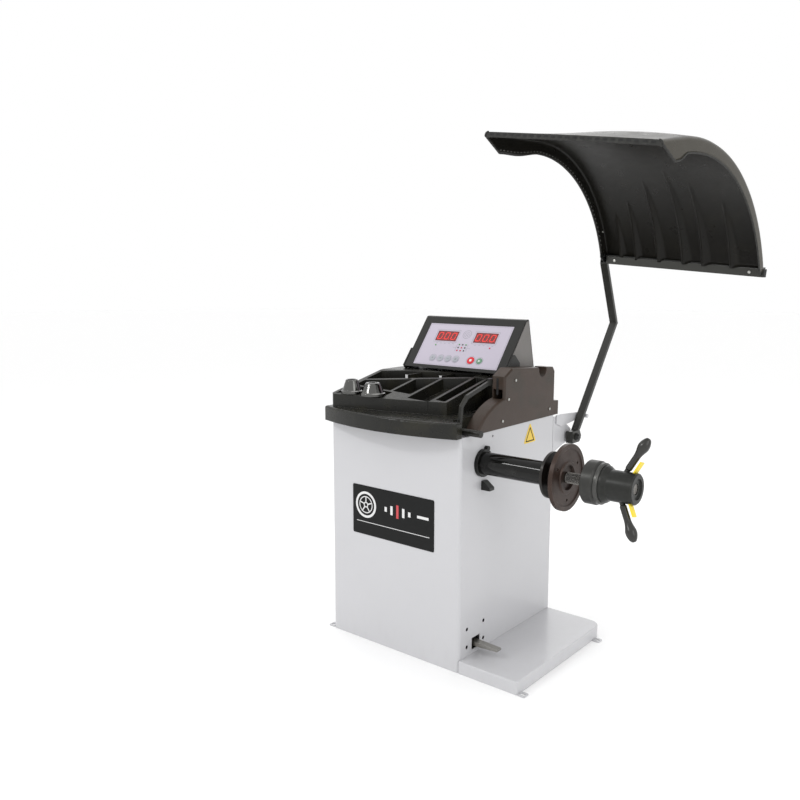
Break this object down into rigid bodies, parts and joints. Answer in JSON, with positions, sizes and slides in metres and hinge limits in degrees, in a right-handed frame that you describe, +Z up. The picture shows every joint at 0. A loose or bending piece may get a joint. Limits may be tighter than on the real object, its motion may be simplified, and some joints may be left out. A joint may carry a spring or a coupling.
{
  "type": "wheel balancer",
  "caption": "Floor-standing wheel balancer: steel cabinet, weight tray, tilted display head, spindle with flange and quick nut, brake pedal and swinging wheel hood.",
  "frame": {"origin": "on the floor at the centre of the cabinet's footprint", "axes": "+X along the spindle towards the wheel, +Y to the back of the machine, +Z up"},
  "size_m": [1.3129, 1.1735, 1.8531],
  "materials": {
    "cabinet_paint": "powder coat, light grey, fine orange peel",
    "plate_dark": "dark charcoal satin",
    "label_yellow": "printed film, yellow",
    "tray_plastic": "black moulded plastic, fine grain",
    "divider_grey": "light grey plastic",
    "cheek_grey": "warm grey plastic, satin",
    "fascia_silver": "silver printed film",
    "window_red": "dark red filter",
    "digit_red": "lit red segments, emissive",
    "lamp_mixed": "small indicator lamps",
    "board_green": "circuit board",
    "key_grey": "grey rubber key",
    "key_red": "red key",
    "key_green": "grey-green key",
    "tube_black": "gloss black",
    "flange_dark": "blackened, machined",
    "steel_bright": "turned steel",
    "cone_chrome": "polished",
    "zinc_screw": "zinc plated",
    "motor_grey": "dark grey enamel",
    "belt_rubber": "ribbed belt",
    "frame_grey": "grey primer",
    "nut_grey": "dark grey, machined",
    "handle_dark": "dark moulded grip",
    "lever_yellow": "yellow plastic",
    "hood_plastic": "black-brown moulded plastic, slight sheen",
    "arm_grey": "dark grey satin",
    "bracket_black": "black satin",
    "sensor_brass": "plain",
    "inlet_black": "black plastic"
  },
  "bodies": {
    "root": {"cabinet_shell": "cabinet_paint", "floor_plate": "cabinet_paint", "mounting_ears": "cabinet_paint", "rear_panel": "cabinet_paint", "cover_screws": "zinc_screw", "nameplate": "plate_dark", "side_label": "label_yellow", "tray_body": "tray_plastic", "bin_dividers": "divider_grey", "centring_cones": "cone_chrome", "side_cowl": "tray_plastic", "display_housing": "tray_plastic", "display_cheeks": "cheek_grey", "display_brackets": "tray_plastic", "display_fascia": "fascia_silver", "display_windows": "window_red", "digit_modules": "digit_red", "indicator_lamps": "lamp_mixed", "display_board": "board_green", "spindle_tube": "tube_black", "spindle_collar": "tube_black", "spindle_bearings": "steel_bright", "spindle_carrier": "frame_grey", "force_sensors": "sensor_brass", "sensor_rail": "frame_grey", "motor_bracket": "frame_grey", "motor_body": "motor_grey", "drive_belt": "belt_rubber", "power_board": "board_green", "hood_bracket": "cabinet_paint", "hood_pivot_pin": "bracket_black", "hood_stop": "cabinet_paint", "tool_hanger": "bracket_black", "pedal_bracket": "bracket_black", "mains_inlet": "inlet_black"},
    "spindle": {"spindle_shaft": "steel_bright", "back_disc": "flange_dark", "main_flange": "flange_dark", "spindle_pulley": "steel_bright"},
    "motor_rotor": {"motor_shaft": "steel_bright"},
    "cup": {"pressure_cup": "nut_grey", "pressure_ring": "steel_bright"},
    "nut": {"nut_hub": "nut_grey", "nut_handles": "handle_dark"},
    "lever_upper": {"release_lever_upper": "lever_yellow"},
    "lever_lower": {"release_lever_lower": "lever_yellow"},
    "hood": {"hood_shell": "hood_plastic", "hood_arm": "arm_grey", "hood_crossbar": "arm_grey"},
    "pedal": {"brake_pedal": "steel_bright"},
    "brake": {"brake_rod": "zinc_screw"},
    "gauge_slide": {"gauge_rod": "steel_bright"},
    "gauge_arm": {"gauge_arm": "tray_plastic"},
    "switch": {"power_switch": "inlet_black"},
    "key_up": {"key_up": "key_grey"},
    "key_down": {"key_down": "key_grey"},
    "key_enter": {"key_enter": "key_grey"},
    "key_mode": {"key_mode": "key_grey"},
    "key_stop": {"key_stop": "key_red"},
    "key_start": {"key_start": "key_green"}
  },
  "joints": [
    {"name": "spindle_spin", "type": "hinge", "parent": "root", "child": "spindle", "pos_m": [0.4, -0.183, 0.74], "axis": [1, 0, 0], "continuous": true},
    {"name": "motor_spin", "type": "hinge", "parent": "root", "child": "motor_rotor", "pos_m": [0, -0.02, 0.52], "axis": [1, 0, 0], "continuous": true},
    {"name": "cup_slide", "type": "slide", "parent": "spindle", "child": "cup", "axis": [1, 0, 0], "range_m": [-0.07, 0.1]},
    {"name": "nut_spin", "type": "hinge", "parent": "cup", "child": "nut", "pos_m": [0.8, -0.183, 0.74], "axis": [1, 0, 0], "continuous": true},
    {"name": "lever_upper_squeeze", "type": "hinge", "parent": "nut", "child": "lever_upper", "pos_m": [0.86088, -0.17308, 0.77977], "axis": [0, -0.9703, 0.2419], "range_deg": [0, 6], "stiffness_Nm_per_rad": 2, "springref_deg": -5.73},
    {"name": "lever_lower_squeeze", "type": "hinge", "parent": "nut", "child": "lever_lower", "pos_m": [0.86088, -0.19292, 0.70023], "axis": [0, 0.9703, -0.2419], "range_deg": [0, 6], "stiffness_Nm_per_rad": 2, "springref_deg": -5.73},
    {"name": "hood_swing", "type": "hinge", "parent": "root", "child": "hood", "pos_m": [0.33, 0.436, 0.743], "axis": [1, 0, 0], "range_deg": [0, 52]},
    {"name": "pedal_press", "type": "hinge", "parent": "root", "child": "pedal", "pos_m": [0.262, -0.207, 0.08], "axis": [0, 1, 0], "range_deg": [0, 5], "stiffness_Nm_per_rad": 30, "springref_deg": -5.73},
    {"name": "brake_lift", "type": "slide", "parent": "root", "child": "brake", "axis": [0, 0, 1], "range_m": [0, 0.0202]},
    {"name": "gauge_pull", "type": "slide", "parent": "root", "child": "gauge_slide", "axis": [1, 0, 0], "range_m": [0, 0.25]},
    {"name": "gauge_swing", "type": "hinge", "parent": "gauge_slide", "child": "gauge_arm", "pos_m": [0.267, -0.27, 0.86], "axis": [1, 0, 0], "range_deg": [0, 42]},
    {"name": "switch_rock", "type": "hinge", "parent": "root", "child": "switch", "pos_m": [-0.12, 0.3063, 0.2], "axis": [1, 0, 0], "range_deg": [0, 12]},
    {"name": "key_up_press", "type": "slide", "parent": "root", "child": "key_up", "axis": [0, 0.788, -0.6157], "range_m": [0, 0.0012], "stiffness_N_per_m": 500, "springref_m": -0.002},
    {"name": "key_down_press", "type": "slide", "parent": "root", "child": "key_down", "axis": [0, 0.788, -0.6157], "range_m": [0, 0.0012], "stiffness_N_per_m": 500, "springref_m": -0.002},
    {"name": "key_enter_press", "type": "slide", "parent": "root", "child": "key_enter", "axis": [0, 0.788, -0.6157], "range_m": [0, 0.0012], "stiffness_N_per_m": 500, "springref_m": -0.002},
    {"name": "key_mode_press", "type": "slide", "parent": "root", "child": "key_mode", "axis": [0, 0.788, -0.6157], "range_m": [0, 0.0012], "stiffness_N_per_m": 500, "springref_m": -0.002},
    {"name": "key_stop_press", "type": "slide", "parent": "root", "child": "key_stop", "axis": [0, 0.788, -0.6157], "range_m": [0, 0.0012], "stiffness_N_per_m": 500, "springref_m": -0.002},
    {"name": "key_start_press", "type": "slide", "parent": "root", "child": "key_start", "axis": [0, 0.788, -0.6157], "range_m": [0, 0.0012], "stiffness_N_per_m": 500, "springref_m": -0.002}
  ],
  "couplings": [
    {"joint": "motor_spin", "follows": "spindle_spin", "ratio": 2.4},
    {"joint": "brake_lift", "follows": "pedal_press", "m_per_rad": 0.23}
  ]
}
